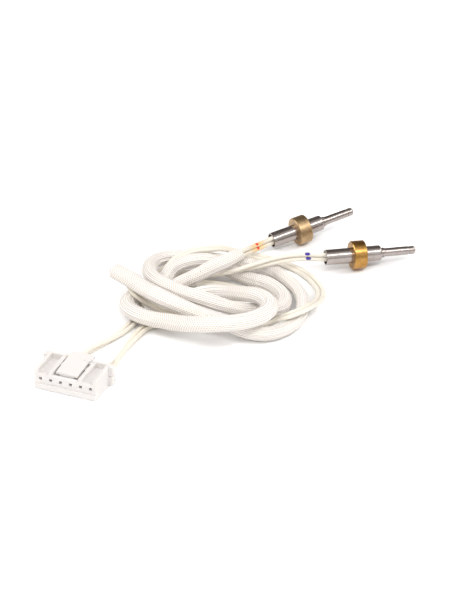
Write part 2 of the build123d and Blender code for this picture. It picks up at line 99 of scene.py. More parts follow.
RETURN_ROUTE = [
    (-13, -16, 7, 90), (-19.5, -18.5, 8, 90),
    (-25.5, -21.5, 8.5, 90), (-31, -24.5, 8.5, 80), (-36.5, -27, 8.5, 55), (-41, -28.5, 8, 30),
    (-46, -26.5, 5.5, 10), (-51, -23, 3, 0), (-55.5, -19, 1, 0), (-60, -18.5, 1, 0),
    (-62.5, -22, 1, 0), (-60.5, -26, 1, 0), (-56, -26, 1, 0), (-49.5, -26.5, 1, 0),
    (-43.5, -28.5, 1, 0), (-38, -32, 1, 0), (-33.5, -36, 1, 0), (-30.5, -40.5, 1, 0),
    (-30.5, -46, 1, 0), (-31.5, -52.5, 1, 0), (-29.5, -58.5, 1.5, 0), (-25.5, -60, 5.5, 0),
    (-21.5, -61, 7.5, 0), (-17.5, -59, 8, 0), (-13.5, -53.5, 7, 0), (-9.5, -44, 4, 0),
    (-8.5, -33.5, 2, 0), (-11, -24.5, 1, 0), (-15, -18, 1, 0), (-20, -13, 1, 0), (-26, -8.5, 1, 0),
    (-32.5, -6, 1, 0), (-40, -4, 2, 0), (-46, -8.5, 6.5, 0), (-52, -13, 8.5, 0),
    (-57, -14.5, 9, 0), (-61.5, -16, 7.5, 0), (-64.5, -17.5, 6, 0), (-67, -18.5, 3.5, 0),
    (-70.5, -19, 1, 0), (-74, -23.5, 1, 0), (-76.5, -28.5, 1, 0), (-77.5, -34, 1, 0),
    (-77, -40.5, 1, 0), (-77, -47.5, 1, 0), (-78.5, -54, 1, 0), (-82, -60, 1, 0), (-86, -66.5, 1.4, 30),
    (-90, -71.5, 1.75, 60), (-94.5, -76, 1.85, 70),
]
FLOW_LEAD_IN = [
    (-31.5, -7, 6.5, 90), (-35.5, -15.5, 9.5, 90),
]
FLOW_TAIL = [
    (-85.3, -39.4, 13.4, 90), (-87.1, -37.4, 12.8, 60), (-86.7, -35, 11.4, 30), (-83.8, -34.2, 10.2, 0),
    (-81, -37.2, 9.2, 0), (-80, -43, 9, 0), (-78.5, -46.5, 8.5, 0), (-75.5, -47.5, 6, 0),
    (-72.5, -47, 3.5, 0), (-69.5, -47, 1.5, 0), (-66.5, -48, 1, 0), (-63, -50.5, 1, 0),
    (-61.7, -52.8, 1, 0), (-63.6, -55.4, 1, 0), (-67.5, -56.4, 1, 0), (-71.3, -56.6, 1, 0),
    (-74.6, -58.4, 1, 0), (-77, -62.6, 1, 0), (-79.5, -69, 1.4, 30), (-82, -76, 1.75, 60), (-85, -84, 1.85, 70),
]
RETURN_A_END = [(-97.2, -80.4, 2.3), (-100, -83, 2.8)]
RETURN_B_END = [(-99.4, -78.9, 1.1), (-103.2, -80.5, 2)]
FLOW_A_END = [(-84.7, -87.8, 2.4)]
FLOW_B_END = [(-87.3, -86.2, 1.5)]


# ---------------------------------------------------------------- sizes and colours a user may change
class SleeveSettings(bpy.types.PropertyGroup):
    """Braided sleeve."""

    radius: FloatProperty(name="Radius", description="Half the sleeve's usual width", default=2.9 * MM,
                          min=0.0005, unit="LENGTH")
    wall: FloatProperty(name="Wall", description="Thickness of the braid", default=0.4 * MM, unit="LENGTH")
    cell: FloatProperty(name="Braid Cell", description="Length of one diamond of the braid",
                        default=0.96 * MM, unit="LENGTH")
    carriers: IntProperty(name="Cells Around", description="Diamonds of the braid round the sleeve",
                          default=12, min=6)
    folds: FloatProperty(name="Fold Depth", description="Depth of the small folds inside a bend",
                         default=0.34 * MM, unit="LENGTH")
    ridges: FloatProperty(name="Ridge Height", description="Height of the ridges that run along the sleeve",
                          default=0.24 * MM, unit="LENGTH")
    yarn: FloatVectorProperty(name="Yarn", description="Colour of the glass yarn", subtype="COLOR", size=3,
                              default=(0.85, 0.812, 0.785), min=0, max=1)
    # The gap colour is painted shade: it darkens the hollows between the yarns and the grooves between the ribs.
    gap_shade: FloatVectorProperty(name="Gaps", description="Colour between the yarns", subtype="COLOR", size=3,
                              default=(0.53, 0.47, 0.39), min=0, max=1)


class LeadSettings(bpy.types.PropertyGroup):
    """Two-wire leads."""

    radius: FloatProperty(name="Radius", description="Half a wire's width", default=0.85 * MM, unit="LENGTH")
    return_ivory: FloatVectorProperty(name="Return Ivory", description="Insulation of the return wires",
                                      subtype="COLOR", size=3, default=(0.75, 0.703, 0.625), min=0, max=1)
    flow_ivory: FloatVectorProperty(name="Flow Ivory", description="Insulation of the flow wires",
                                    subtype="COLOR", size=3, default=(0.75, 0.695, 0.60), min=0, max=1)
    hot_mark: FloatVectorProperty(name="Flow Mark", description="Paint dash on the flow wires",
                                  subtype="COLOR", size=3, default=(0.78, 0.03, 0.02), min=0, max=1)
    cold_mark: FloatVectorProperty(name="Return Mark", description="Paint dash on the return wires",
                                   subtype="COLOR", size=3, default=(0.035, 0.02, 0.26), min=0, max=1)
    mark_length: FloatProperty(name="Mark Length", description="Length of a paint dash",
                               default=2.2 * MM, unit="LENGTH")


class MetalSettings(bpy.types.PropertyGroup):
    """Probe tubes and collars."""

    steel: FloatVectorProperty(name="Steel", description="Drawn stainless steel", subtype="COLOR", size=3,
                               default=(0.41, 0.36, 0.338), min=0, max=1)
    flow_brass: FloatVectorProperty(name="Flow Brass", description="Dulled brass of the flow collar",
                                    subtype="COLOR", size=3, default=(0.48, 0.33, 0.178), min=0, max=1)
    return_brass: FloatVectorProperty(name="Return Brass", description="Golden brass of the return collar",
                                      subtype="COLOR", size=3, default=(0.47, 0.265, 0.082), min=0, max=1)
    tin: FloatVectorProperty(name="Tin", description="Tin plate of the splices and leads",
                             subtype="COLOR", size=3, default=(0.55, 0.53, 0.50), min=0, max=1)
    terminal: FloatVectorProperty(name="Terminal", description="Thinly plated bronze of the terminals",
                                  subtype="COLOR", size=3, default=(0.42, 0.22, 0.10), min=0, max=1)


class PlugSettings(bpy.types.PropertyGroup):
    """Six-way plug."""

    nylon: FloatVectorProperty(name="Nylon", description="Natural moulded nylon", subtype="COLOR", size=3,
                               default=(0.69, 0.663, 0.65), min=0, max=1)


class StageSettings(bpy.types.PropertyGroup):
    """Floor, light and camera."""

    floor: FloatVectorProperty(name="Floor", description="Colour of the floor", subtype="COLOR", size=3,
                               default=(0.96, 0.96, 0.96), min=0, max=1)
    distance: FloatProperty(name="Camera Distance", description="From the camera to what it looks at",
                            default=1.3, unit="LENGTH")
    elevation: FloatProperty(name="Camera Elevation", description="Angle above the floor",
                             default=math.radians(30.6), subtype="ANGLE")
    lens: FloatProperty(name="Lens", description="Focal length in millimetres", default=275.1)
    key: FloatProperty(name="Key Light", description="Power of the long front light in watts", default=4.4)
    fill: FloatProperty(name="Fill Light", description="Power of the left light in watts", default=5.2)
    sky: FloatProperty(name="Sky", description="Brightness of the surroundings", default=1.4)


SETTINGS = {"harness_sleeve": SleeveSettings, "harness_leads": LeadSettings, "harness_metal": MetalSettings,
            "harness_plug": PlugSettings, "harness_stage": StageSettings}


# ---------------------------------------------------------------- places
def probe_place(spot, heading, tilt):
    """4x4 place of a probe: Z runs along it, Y across it and up, X level across it, from the collar's rear face.

    The collar's rim stands on the floor, so its middle is radius cos(tilt) less the touching
    length times sin(tilt) above it.
    """
    h, t = math.radians(heading), math.radians(tilt)
    touching = COLLAR_LENGTH - COLLAR_CHAMFER if tilt < 0 else COLLAR_CHAMFER
    height = COLLAR_RADIUS * math.cos(t) - touching * math.sin(t)
    ahead = np.array([math.cos(h) * math.cos(t), math.sin(h) * math.cos(t), math.sin(t)])
    level = np.array([-math.sin(h), math.cos(h), 0.0])
    place = np.eye(4)
    place[:3, 0] = level
    place[:3, 1] = np.cross(ahead, level)
    place[:3, 2] = ahead
    place[:3, 3] = np.array([*spot, height]) * MM
    return place


def plug_place():
    """4x4 place of the plug: X along its row of entries, Y from its face to its wires."""
    h = math.radians(PLUG_HEADING)
    place = np.eye(4)
    place[:2, :2] = [[math.cos(h), -math.sin(h)], [math.sin(h), math.cos(h)]]
    place[:2, 3] = np.array(PLUG_CORNER) * MM
    return place


def at(place, points):
    """Points given in a place's own millimetres, in the frame's metres."""
    points = np.atleast_2d(np.asarray(points, float)) * MM
    return points @ place[:3, :3].T + place[:3, 3]


def wander(x, seed):
    """Smooth wander between about -1 and 1: three sines of unrelated periods, added and scaled."""
    return (np.sin(x + seed) + 0.6 * np.sin(1.73 * x + 2.1 * seed) + 0.35 * np.sin(3.1 * x + 3.7 * seed)) / 1.95


# ---------------------------------------------------------------- lines
def spline_line(name, route):
    """Points of the NURBS curve of order 3 whose control points are the route, in metres."""
    data = bpy.data.curves.new(name, "CURVE")
    data.dimensions = "3D"
    data.resolution_u = 24
    spline = data.splines.new("NURBS")
    spline.points.add(len(route) - 1)
    spline.points.foreach_set("co", np.c_[route, np.ones(len(route))].ravel())
    spline.order_u = 3
    spline.use_endpoint_u = True
    holder = bpy.data.objects.new(name, data)
    mesh = bpy.data.meshes.new_from_object(holder)
    line = np.empty(3 * len(mesh.vertices))
    mesh.vertices.foreach_get("co", line)
    bpy.data.objects.remove(holder)
    bpy.data.curves.remove(data)
    bpy.data.meshes.remove(mesh)
    return line.reshape(-1, 3)


def run_lengths(line):
    """Distance along a line of each of its points."""
    return np.concatenate(([0.0], np.cumsum(np.linalg.norm(np.diff(line, axis=0), axis=1))))


def evenly(line, step):
    """Distances every step along a line and the points there."""
    lengths = run_lengths(line)
    distances = np.linspace(0, lengths[-1], max(8, int(lengths[-1] / step)) + 1)
    return distances, np.stack([np.interp(distances, lengths, line[:, k]) for k in range(3)], axis=1)


def unit(vectors):
    """Vectors scaled to length 1."""
    return vectors / np.linalg.norm(vectors, axis=-1, keepdims=True)


def axes_along(line):
    """Unit vectors along, beside and above a line that is nowhere upright.

    beside = along x up, above = beside x along.
    """
    along = unit(np.gradient(line, axis=0))
    beside = unit(np.cross(along, np.array([0.0, 0.0, 1.0])))
    return along, beside, np.cross(beside, along)


def smooth(values, reach):
    """Weighted running mean over 2 reach + 1 values; past the ends the values go on as they arrive."""
    kernel = np.hanning(2 * reach + 3)[1:-1]
    kernel /= kernel.sum()
    padded = np.pad(values, [(reach, reach)] + [(0, 0)] * (values.ndim - 1), mode="reflect", reflect_type="odd")
    if values.ndim == 1:
        return np.convolve(padded, kernel, "valid")
    return np.stack([np.convolve(padded[:, k], kernel, "valid") for k in range(values.shape[1])], axis=1)


def pair_line(route, side):
    """One wire of a pair: its control points lie half the spacing to a side, or above, as the roll says.

    At a turn by t the step sideways is divided by cos(t / 2), so the wires keep their distance.
    """
    route = np.asarray(route, float)
    places, roll = route[:, :3], np.radians(route[:, 3])
    steps = np.diff(places[:, :2], axis=0)
    steps = np.concatenate((steps[:1], steps, steps[-1:]))
    arriving = np.arctan2(steps[:-1, 1], steps[:-1, 0])
    leaving = np.arctan2(steps[1:, 1], steps[1:, 0])
    half_turn = (np.mod(leaving - arriving + math.pi, TAU) - math.pi) / 2
    heading = arriving + half_turn
    reach = side * WIRE_SPACING / 2
    sideways = reach * np.cos(roll) / np.cos(half_turn)
    return places + np.stack((-np.sin(heading) * sideways, np.cos(heading) * sideways, np.sin(roll) * reach), axis=1)


def wire_route(probe, route, side, last, number):
    """Control points of one wire in metres: splice, tube mouth, its side of the pair's route, and its terminal."""
    y = side * WIRE_SPACING / 2
    start = at(probe_place(*probe), [(0, y, WIRE_END), (0, y, -TUBE_REAR_LENGTH)])
    x = PLUG_END_MARGIN + (number - 1) * PLUG_PITCH
    end = at(plug_place(), [(x, PLUG_DEPTH + WIRE_OUTSIDE, CONTACT_HEIGHT), (x, CRIMP_START, CONTACT_HEIGHT)])
    return np.concatenate((start, np.concatenate((pair_line(route, side), np.asarray(last, float))) * MM, end))


# ---------------------------------------------------------------- meshes
def skin(name, grid, uv_rows, loop_rows):
    """Mesh over a grid of points [row, column]: columns close round, rows close round too or end in a fan.

    u of the UV map is the row's own value, v runs from 0 to 1 over the columns.
    """
    rows, columns = grid.shape[:2]
    row = np.arange(rows if loop_rows else rows - 1)[:, None]
    column = np.arange(columns)[None, :]
    next_row, next_column = (row + 1) % rows, (column + 1) % columns
    quads = np.stack((row * columns + column, row * columns + next_column,
                      next_row * columns + next_column, next_row * columns + column), axis=-1).reshape(-1, 4)
    u0, u1 = uv_rows[row % rows], uv_rows[next_row]
    v0, v1 = column / columns, (column + 1) / columns
    u0, u1, v0, v1 = np.broadcast_arrays(u0, u1, v0, v1)
    uv = np.stack((np.stack((u0, v0), -1), np.stack((u0, v1), -1), np.stack((u1, v1), -1), np.stack((u1, v0), -1)),
                  axis=-2).reshape(-1, 2)
    points = grid.reshape(-1, 3)
    faces = quads.tolist()
    if not loop_rows:
        middle = np.stack((grid[0].mean(axis=0), grid[-1].mean(axis=0)))
        points = np.concatenate((points, middle))
        k, following = np.arange(columns), (np.arange(columns) + 1) % columns
        last = (rows - 1) * columns
        fans = np.concatenate((np.stack((following, k, np.full(columns, rows * columns)), -1),
                               np.stack((last + k, last + following, np.full(columns, rows * columns + 1)), -1)))
        faces += fans.tolist()
        uv = np.concatenate((uv, np.repeat([[uv_rows[0], 0.5]], 3 * columns, axis=0),
                             np.repeat([[uv_rows[-1], 0.5]], 3 * columns, axis=0)))
    mesh = bpy.data.meshes.new(name)
    mesh.from_pydata(points.tolist(), [], faces)
    mesh.uv_layers.new(name="along_round").data.foreach_set("uv", uv.ravel())
    mesh.shade_smooth()
    return mesh


def piece(name, mesh, finish, body="harness"):
    """Object for a mesh, in the scene, with its finish, riding on a body."""
    mesh.materials.append(finish)
    made = bpy.data.objects.new(name, mesh)
    bpy.context.scene.collection.objects.link(made)
    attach(made, body)
    return made


def round_tube(line, beside, above, beside_reach, above_reach):
    """P(s, a) = line(s) + beside_reach(s, a) cos(a) beside(s) + above_reach(s, a) sin(a) above(s)."""
    columns = beside_reach.shape[1]
    a = np.arange(columns) * TAU / columns
    return (line[:, None, :] + (beside_reach * np.cos(a))[..., None] * beside[:, None, :]
            + (above_reach * np.sin(a))[..., None] * above[:, None, :])


# ---------------------------------------------------------------- finishes
class Signal:
    """A shader socket that works in Python expressions: each operator adds the Math node it stands for."""

    def __init__(self, recipe, socket):
        self.recipe = recipe
        self.socket = socket

    def math(self, operation, *values):
        """Math node on these values."""
        return self.recipe.node("ShaderNodeMath", {"operation": operation}, dict(enumerate(values)))

    def __add__(self, other):
        return self.math("ADD", self, other)

    def __radd__(self, other):
        return self.math("ADD", other, self)

    def __sub__(self, other):
        return self.math("SUBTRACT", self, other)

    def __rsub__(self, other):
        return self.math("SUBTRACT", other, self)

    def __mul__(self, other):
        return self.math("MULTIPLY", self, other)

    def __rmul__(self, other):
        return self.math("MULTIPLY", other, self)

    def __truediv__(self, other):
        return self.math("DIVIDE", self, other)

    def __pow__(self, other):
        return self.math("POWER", self, other)

    def __mod__(self, other):
        return self.math("FLOORED_MODULO", self, other)

    def floor(self):
        """Largest whole number not above it."""
        return self.math("FLOOR", self)

    def sin(self):
        """Sine of it, in radians."""
        return self.math("SINE", self)

    def largest(self, other):
        """The larger of the two."""
        return self.math("MAXIMUM", self, other)


class Recipe:
    """One finish: the node tree of a new material, or of the world given, and the steps every finish takes."""

    def __init__(self, name, world=None):
        self.material = world or bpy.data.materials.new(name)
        self.material.use_nodes = True
        self.tree = self.material.node_tree
        self.tree.nodes.clear()

    def node(self, kind, settings=None, values=None, output=0):
        """Node of a type with its settings, then its sockets' values or links; returns one output."""
        made = self.tree.nodes.new(kind)
        for key, value in (settings or {}).items():
            if key == "stops":
                ramp = made.color_ramp
                while len(ramp.elements) < len(value):
                    ramp.elements.new(0.5)
                for element, (position, tint) in zip(ramp.elements, value):
                    element.position = position
                    element.color = (*tint, 1.0)
            else:
                setattr(made, key, value)
        for key, value in (values or {}).items():
            if isinstance(value, Signal):
                self.tree.links.new(value.socket, made.inputs[key])
            else:
                made.inputs[key].default_value = value
        return Signal(self, made.outputs[output]) if made.outputs else None

    def place_coordinates(self, place):
        """Object coordinates measured from a place, along its own axes, in metres."""
        turn = Matrix([list(map(float, row[:3])) for row in place[:3]]).to_euler()
        here = self.node("ShaderNodeTexCoord", output="Object")
        return self.node("ShaderNodeMapping", {"vector_type": "TEXTURE"},
                         {"Vector": here, "Location": tuple(place[:3, 3]), "Rotation": turn})

    def parts_of(self, vector):
        """X, Y and Z of a vector."""
        return [self.node("ShaderNodeSeparateXYZ", None, {"Vector": vector}, output=k) for k in range(3)]

    def noise(self, vector, scale, detail=3.0, roughness=0.5):
        """Noise between 0 and 1, its scale in waves to the metre."""
        return self.node("ShaderNodeTexNoise", None,
                         {"Vector": vector, "Scale": scale, "Detail": detail, "Roughness": roughness})

    def blend(self, amount, first, second):
        """Colour between two colours."""
        first = (*first, 1.0) if isinstance(first, tuple) else first
        second = (*second, 1.0) if isinstance(second, tuple) else second
        return self.node("ShaderNodeMix", {"data_type": "RGBA"}, {0: amount, 6: first, 7: second}, output=2)

    def step(self, value, low, high):
        """0 below low, 1 above high, smooth between."""
        return self.node("ShaderNodeMapRange", {"interpolation_type": "SMOOTHSTEP"},
                         {"Value": value, "From Min": low, "From Max": high})

    def bump(self, height, strength, distance):
        """Normal bent by a height of this distance in metres."""
        return self.node("ShaderNodeBump", None, {"Height": height, "Strength": strength, "Distance": distance})

    def surface(self, **values):
        """Principled shader with these sockets, wired to the output."""
        sockets = {key.replace("_", " "): value for key, value in values.items()}
        shader = self.node("ShaderNodeBsdfPrincipled", None, sockets)
        self.node("ShaderNodeOutputMaterial", None, {"Surface": shader})
        return self.material


def colour(value):
    """Plain triple of a colour setting."""
    return tuple(float(part) for part in value)


def braid_finish(settings):
    """White glass yarn in a one-over-one braid.

    x counts cells along and y cells round.  A = x + y and B = x - y count the two sets of
    yarns; at each crossing the yarn on top, which alternates, makes a pillow longer its own way.
    Where the sleeve is bent the rows of pillows close up into ribs along it, two to a cell round. Between the pillows
    and between the ribs the colour darkens to painted shade.
    """
    recipe = Recipe("glass_braid")
    place = recipe.node("ShaderNodeUVMap", {"uv_map": "along_round"})
    along, across, _ = recipe.parts_of(place)
    x = along / settings.cell
    y = across * float(settings.carriers)
    a, b = x + y, x - y
    bent = recipe.node("ShaderNodeAttribute", {"attribute_name": "bent"}, output="Fac")
    pillow_a = (((a % 1.0) * math.pi).sin()).largest(0.001)
    pillow_b = (((b % 1.0) * math.pi).sin()).largest(0.001)
    on_top = (a.floor() + b.floor()) % 2.0
    pillow = on_top * (pillow_a ** 0.35) * (pillow_b ** 1.1) + (1 - on_top) * (pillow_a ** 1.1) * (pillow_b ** 0.35)
    rib = ((((y * 2.0) % 1.0) * math.pi).sin()).largest(0.001)
    weave = pillow * (1 - bent * 0.85) + rib * bent * 0.85
    filaments = on_top * (b * (TAU * 5)).sin() + (1 - on_top) * (a * (TAU * 5)).sin()
    here = recipe.node("ShaderNodeTexCoord", output="Object")
    handling = recipe.noise(here, 90.0, 4.0)
    specks = recipe.step(recipe.noise(here, 620.0, 1.0), 0.76, 0.82)
    # Painted shade: the colour falls from the yarn on the tops of pillows and ribs to the gap shade in the hollows
    # between them.
    shade = recipe.blend(recipe.step(weave, 0.05, 0.9), colour(settings.gap_shade), colour(settings.yarn))
    shade = recipe.blend(recipe.step(handling, 0.45, 0.8) * 0.35, shade, (0.80, 0.75, 0.66))
    shade = recipe.blend(specks * 0.5, shade, (0.3, 0.26, 0.2))
    height = weave * (1 + bent * 1.6) + filaments * 0.04
    return recipe.surface(Base_Color=shade, Roughness=0.72, Sheen_Weight=0.15,
                          Normal=recipe.bump(height, 0.7, 0.00014))


DASH_OVAL = 0.61
STAIN = (0.80, 0.55, 0.22)
STAIN_REACH = (0.0022, 0.0085)


def insulation_finish(name, ivory, mark, centre, along, mark_length, stain):
    """Extruded ivory insulation with a paint dash at a point, and a warm stain round the dash.

    The dash is an oval, longer along the wire: r**2 - DASH_OVAL (r . along)**2 < (length / 3.2)**2.
    """
    recipe = Recipe(name)
    here = recipe.node("ShaderNodeTexCoord", output="Object")
    cloud = recipe.noise(here, 140.0, 3.0)
    ragged = recipe.noise(here, 1500.0, 2.0)
    offset = recipe.node("ShaderNodeVectorMath", {"operation": "SUBTRACT"}, {0: here, 1: tuple(centre)})
    reach = recipe.node("ShaderNodeVectorMath", {"operation": "LENGTH"}, {0: offset}, output=1)
    ahead = recipe.node("ShaderNodeVectorMath", {"operation": "DOT_PRODUCT"}, {0: offset, 1: tuple(along)}, output=1)
    spot = (reach * reach - ahead * ahead * DASH_OVAL).largest(0.0) ** 0.5
    half = mark_length / 3.2
    dash = 1 - recipe.step(spot + (ragged - 0.5) * 0.0003, half - 0.0001, half + 0.0001)
    shade = recipe.blend(cloud * 0.5, ivory, tuple(c * f for c, f in zip(ivory, (0.96, 0.945, 0.90))))
    shade = recipe.blend((1 - recipe.step(reach, *STAIN_REACH)) * stain, shade, STAIN)
    shade = recipe.blend(dash, shade, mark)
    return recipe.surface(Base_Color=shade, Roughness=0.42 + cloud * 0.12, Specular_IOR_Level=0.4,
                          Subsurface_Weight=0.08, Subsurface_Radius=(0.0015, 0.0012, 0.0008),
                          Normal=recipe.bump(recipe.noise(here, 900.0, 2.0), 0.12, 0.0001))


def steel_finish(name, steel, place):
    """Drawn stainless steel: fine streaks along the probe and faint handling marks."""
    recipe = Recipe(name)
    local = recipe.place_coordinates(place)
    stretched = recipe.node("ShaderNodeVectorMath", {"operation": "MULTIPLY"}, {0: local, 1: (1.0, 1.0, 0.05)})
    streaks = recipe.noise(stretched, 2600.0, 4.0, 0.65)
    cloud = recipe.noise(local, 260.0, 4.0)
    handled = tuple(c * f for c, f in zip(steel, (0.72, 0.70, 0.68)))
    shade = recipe.blend(recipe.step(cloud, 0.35, 0.75) * 0.5, steel, handled)
    shade = recipe.blend(recipe.step(streaks, 0.4, 0.8) * 0.2, shade, (0.55, 0.53, 0.52))
    return recipe.surface(Base_Color=shade, Metallic=1.0, Roughness=0.15 + streaks * 0.09 + cloud * 0.06,
                          Normal=recipe.bump(streaks, 0.05, 0.00003))


def brass_finish(name, brass, dull, place, roughness):
    """Turned brass: fine rings round the collar, patches where it has dulled."""
    recipe = Recipe(name)
    local = recipe.place_coordinates(place)
    x, y, z = recipe.parts_of(local)
    radius = (x * x + y * y) ** 0.5
    section = recipe.node("ShaderNodeCombineXYZ", None, {"X": radius, "Y": 0.0, "Z": z})
    rings = recipe.noise(section, 5200.0, 3.0, 0.7)
    cloud = recipe.noise(local, 320.0, 5.0, 0.6)
    grain = recipe.noise(local, 2400.0, 3.0, 0.7)
    shade = recipe.blend(recipe.step(cloud, 0.35, 0.7), brass, dull)
    shade = recipe.blend(recipe.step(grain, 0.45, 0.8) * 0.35, shade, tuple(min(1.0, c * 1.5) for c in brass))
    return recipe.surface(Base_Color=shade, Metallic=1.0, Roughness=roughness + (grain - 0.5) * 0.22,
                          Normal=recipe.bump(rings + grain * 0.6, 0.25, 0.00004))


def tin_finish(name, tin):
    """Thin bright plating, cloudy and a little scuffed."""
    recipe = Recipe(name)
    here = recipe.node("ShaderNodeTexCoord", output="Object")
    cloud = recipe.noise(here, 900.0, 3.0)
    shade = recipe.blend(cloud, tin, tuple(c * 0.6 for c in tin))
    return recipe.surface(Base_Color=shade, Metallic=1.0, Roughness=0.3 + cloud * 0.2)


def nylon_finish(nylon, place):
    """Natural moulded nylon: soft satin skin, faint flow lines, light that goes a little way in."""
    recipe = Recipe("natural_nylon")
    local = recipe.place_coordinates(place)
    cloud = recipe.noise(local, 190.0, 3.0)
    grain = recipe.noise(local, 2600.0, 2.0)
    shade = recipe.blend(cloud * 0.6, nylon, tuple(c * f for c, f in zip(nylon, (0.96, 0.95, 0.91))))
    return recipe.surface(Base_Color=shade, Roughness=0.36 + grain * 0.12, Subsurface_Weight=0.25,
                          Subsurface_Radius=(0.0016, 0.0015, 0.0012), Subsurface_Scale=1.0,
                          Normal=recipe.bump(grain, 0.1, 0.00005))


def dull_finish(name, base, scale, roughness):
    """Matt piece that stays out of sight: potting resin, ceramic or the sensing bead."""
    recipe = Recipe(name)
    here = recipe.node("ShaderNodeTexCoord", output="Object")
    grain = recipe.noise(here, scale, 4.0)
    shade = recipe.blend(grain, base, tuple(c * 0.7 for c in base))
    return recipe.surface(Base_Color=shade, Roughness=roughness + grain * 0.1,
                          Normal=recipe.bump(grain, 0.2, 0.00005))


def dress(names, finish):
    """Gives CAD nodes a finish."""
    for name in names:
        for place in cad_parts[name].material_slots:
            place.material = finish


# ---------------------------------------------------------------- pieces
# Half width and half height of the sleeve, as shares of its usual radius, by control point.
SLEEVE_SPREAD = [
    (0, 0.93, 0.93), (3, 0.96, 0.90), (6, 1.0, 0.92), (9, 1.05, 0.95), (11, 1.12, 1.0), (14, 1.12, 0.97),
    (18, 1.18, 1.02), (21, 1.1, 0.97), (24, 0.98, 0.95), (28, 0.95, 0.93), (32, 0.93, 0.92), (36, 0.92, 0.90),
    (40, 0.96, 0.92), (44, 1.0, 0.94), (48, 0.94, 0.88), (52, 0.86, 0.86), (56, 0.86, 0.86), (60, 0.92, 0.88),
    (64, 1.02, 0.92), (67, 1.12, 0.98), (69, 1.1, 1.0),
]


def sleeve_mesh(settings):
    """Sleeve: an oval tube along its spline, out along its outside and back along its inside.

    The outside moves in by small folds across the inner side of a bend, out by ridges along
    the sleeve, and by slow lumps; a crease runs along the wide front strand.
    """
    line = spline_line("sleeve_line", np.array(SLEEVE_ROUTE) * MM)
    control = np.linspace(0, len(SLEEVE_ROUTE) - 1, len(line))
    lengths = run_lengths(line)
    distances, even = evenly(line, 0.42 * MM)
    even = smooth(even, 4)
    along, beside, above = axes_along(even)
    total = distances[-1]
    bend = smooth(np.gradient(along, distances, axis=0), 6)
    bend_beside, bend_above = (bend * beside).sum(axis=1), (bend * above).sum(axis=1)
    tightness = np.clip(np.hypot(bend_beside, bend_above) * 0.011, 0, 1)
    inner_side = np.arctan2(bend_above, bend_beside)
    spread = np.array(SLEEVE_SPREAD)
    number = np.interp(distances, lengths, control)
    half_width = np.interp(number, spread[:, 0], spread[:, 1]) * settings.radius
    half_height = np.interp(number, spread[:, 0], spread[:, 2]) * settings.radius

    wall = settings.wall
    out_rows = distances
    back_rows = np.arange(total, 0, -3 * MM)
    rows = np.concatenate((out_rows, [total], back_rows[1:], [0.0]))
    past = np.zeros(len(rows))
    inset = np.full(len(rows), wall)
    inset[:len(out_rows)] = 0
    past[len(out_rows)] = 0.16 * MM
    past[-1] = -0.16 * MM
    inset[len(out_rows)] = inset[-1] = wall / 2

    def on_rows(values):
        if values.ndim == 1:
            return np.interp(rows, distances, values)
        return np.stack([np.interp(rows, distances, values[:, k]) for k in range(3)], axis=1)

    columns = 72
    a = (np.arange(columns) * TAU / columns)[None, :]
    s = rows[:, None]
    tight = on_rows(tightness)[:, None]
    inner = on_rows(np.unwrap(inner_side))[:, None]
    facing = np.clip(np.cos(a - inner), 0, 1) ** 1.5
    number_rows = np.interp(rows, distances, number)[:, None]
    fold_phase = s * TAU / (1.7 * MM) + 2 * wander(s / (9 * MM), 1.0) + 1.2 * np.sin(a)
    folds = -settings.folds * tight * facing * (0.5 + 0.5 * np.sin(fold_phase))
    ridge_phase = 9 * a + 1.5 * wander(s / (16 * MM), 2.0)
    ridge_height = settings.ridges * (0.25 + 0.75 * tight)
    ridges = ridge_height * np.cos(ridge_phase) * (0.6 + 0.4 * wander(s / (6 * MM) + 2 * a, 3.0))
    lumps = 0.11 * MM * wander(s / (4.5 * MM) + 1.5 * np.sin(a), 4.0) * wander(s / (11 * MM) + np.cos(a), 5.0)
    front = np.clip(1 - np.abs(number_rows - 16.5) / 5.5, 0, 1) ** 0.5
    from_crease = np.mod(a - 1.95 - 0.16 * wander(s / (14 * MM), 6.0) + math.pi, TAU) - math.pi
    crease = -0.42 * MM * front * np.exp(-(from_crease / 0.17) ** 2)
    change = folds + ridges + lumps + crease
    beside_reach = on_rows(half_width)[:, None] + change - inset[:, None]
    above_reach = on_rows(half_height)[:, None] + change - inset[:, None]
    grid = round_tube(on_rows(even), on_rows(beside), on_rows(above), beside_reach, above_reach)
    near_end = np.exp(-np.minimum(rows, total - rows) / (1.2 * MM))[:, None]
    ragged = 0.07 * MM * (np.sin(5 * a + 1.0) + 0.7 * np.sin(11 * a + 2.3) + 0.5 * np.sin(17 * a)) * near_end
    grid = grid + (past[:, None] + ragged)[..., None] * on_rows(along)[:, None, :]
    mesh = skin("sleeve", grid, rows, True)
    bent = np.clip(tight * 3.0 - 0.35, 0, 1) * np.clip(0.85 + 0.4 * wander(s / (7 * MM), 7.0), 0, 1) + np.zeros_like(a)
    mesh.attributes.new("bent", "FLOAT", "POINT").data.foreach_set("value", bent.ravel())
    return mesh, even


# Probe, lead, side of the pair, last control points and terminal of each wire.
WIRES = {
    "return_wire_a": (RETURN_PROBE, "return", 1, RETURN_A_END, 2),
    "return_wire_b": (RETURN_PROBE, "return", -1, RETURN_B_END, 1),
    "flow_wire_a": (FLOW_PROBE, "flow", 1, FLOW_A_END, 6),
    "flow_wire_b": (FLOW_PROBE, "flow", -1, FLOW_B_END, 5),
}
# From the start of a wire to its paint dash, in millimetres.
MARK_DISTANCES = {"return_wire_a": 15.2, "return_wire_b": 14.6, "flow_wire_a": 21.2, "flow_wire_b": 20.3}


def wire_mesh(name, control, radius):
    """Wire: a round rod along its spline that swells and thins by a hundredth or two."""
    distances, even = evenly(spline_line(name + "_line", control), 0.5 * MM)
    even = smooth(even, 3)
    _, beside, above = axes_along(even)
    seed = float(sum(map(ord, name)) % 17)
    a = np.zeros((1, 20))
    reach = radius * (1 + 0.012 * wander(distances[:, None] / (5 * MM) + a, seed))
    return skin(name, round_tube(even, beside, above, reach, reach), distances, False), even


FLOW_STAIN = 0.75


